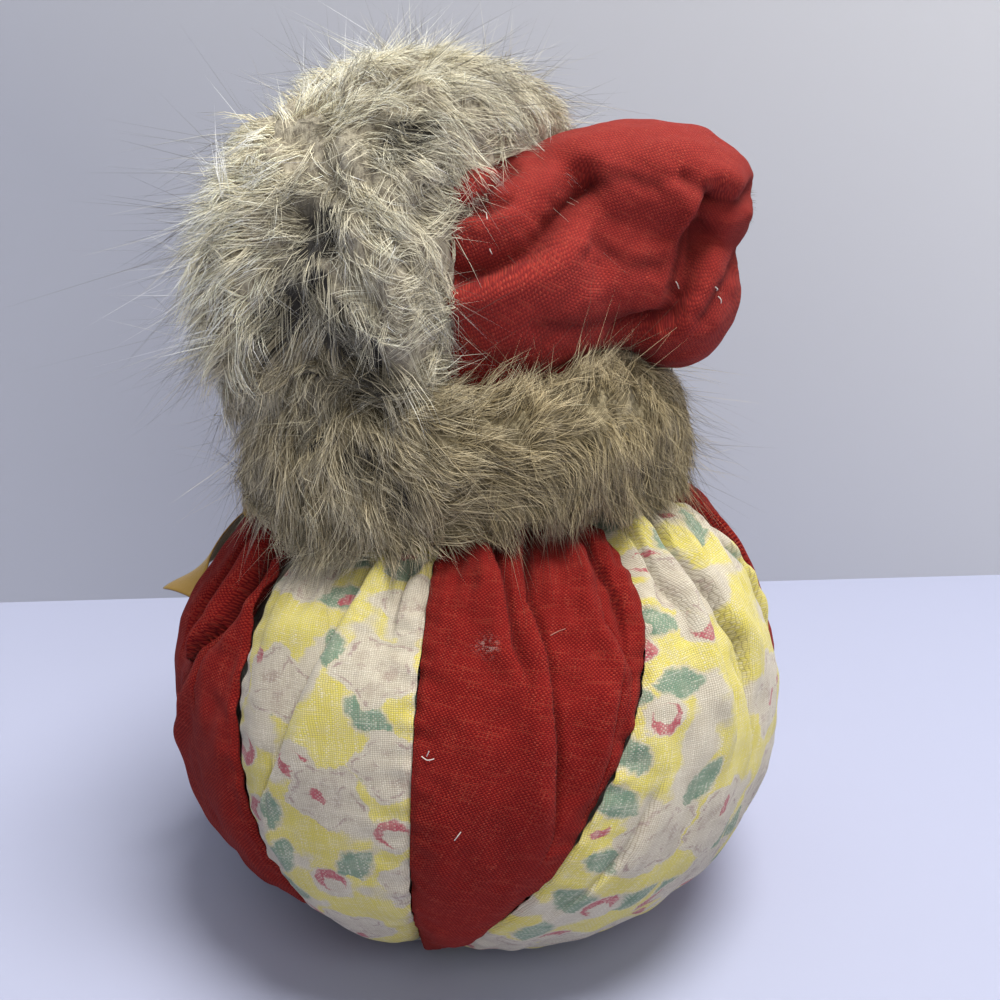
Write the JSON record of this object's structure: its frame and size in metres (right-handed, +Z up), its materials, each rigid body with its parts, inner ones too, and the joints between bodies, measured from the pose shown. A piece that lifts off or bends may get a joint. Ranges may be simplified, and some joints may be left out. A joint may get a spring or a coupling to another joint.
{
  "type": "santa doll",
  "caption": "Stuffed Santa doll with a round body of sewn red and floral gores, fur face trim, beard and hair, and a flopped red cap.",
  "frame": {"origin": "the floor, under the middle of the ball body", "axes": "+Z up, the doll faces -Y, its left side is +X"},
  "size_m": [0.1236, 0.1236, 0.171],
  "materials": {
    "red_linen": "plain woven linen, dull",
    "floral_cotton": "printed plain cotton, dull",
    "red_thread": "cotton thread",
    "wadding": "loose fibre",
    "skin_cloth": "plain muslin",
    "black_bead": "polished",
    "pale_fur": "long fur, cream and grey with dark tips",
    "brown_fur": "long fur, olive brown",
    "gold_ribbon": "satin ribbon"
  },
  "bodies": {
    "body": {"gore_floral_1": "floral_cotton", "gore_red_2": "red_linen", "gore_floral_2": "floral_cotton", "gore_red_3": "red_linen", "gore_floral_3": "floral_cotton", "gore_red_4": "red_linen", "gore_floral_4": "floral_cotton", "gore_red_1": "red_linen", "base_patch": "red_linen", "body_stuffing": "wadding", "neck_thread": "red_thread", "ribbon_knot": "gold_ribbon", "ribbon_loop_left": "gold_ribbon", "ribbon_loop_right": "gold_ribbon", "ribbon_tail_left": "gold_ribbon", "ribbon_tail_right": "gold_ribbon"},
    "head": {"hood": "red_linen", "face_cloth": "skin_cloth", "head_stuffing": "wadding", "eye_left": "black_bead", "eye_right": "black_bead", "nose": "skin_cloth", "beard": "pale_fur", "back_hair": "brown_fur", "hood_trim": "pale_fur", "cap_cloth": "red_linen", "cap_stuffing": "wadding", "cap_pompom": "brown_fur"}
  },
  "joints": [
    {"name": "head_turn", "type": "hinge", "parent": "body", "child": "head", "pos_m": [0, 0, 0.0886], "axis": [0, 0, 1], "range_deg": [-20, 20], "stiffness_Nm_per_rad": 0.05}
  ]
}
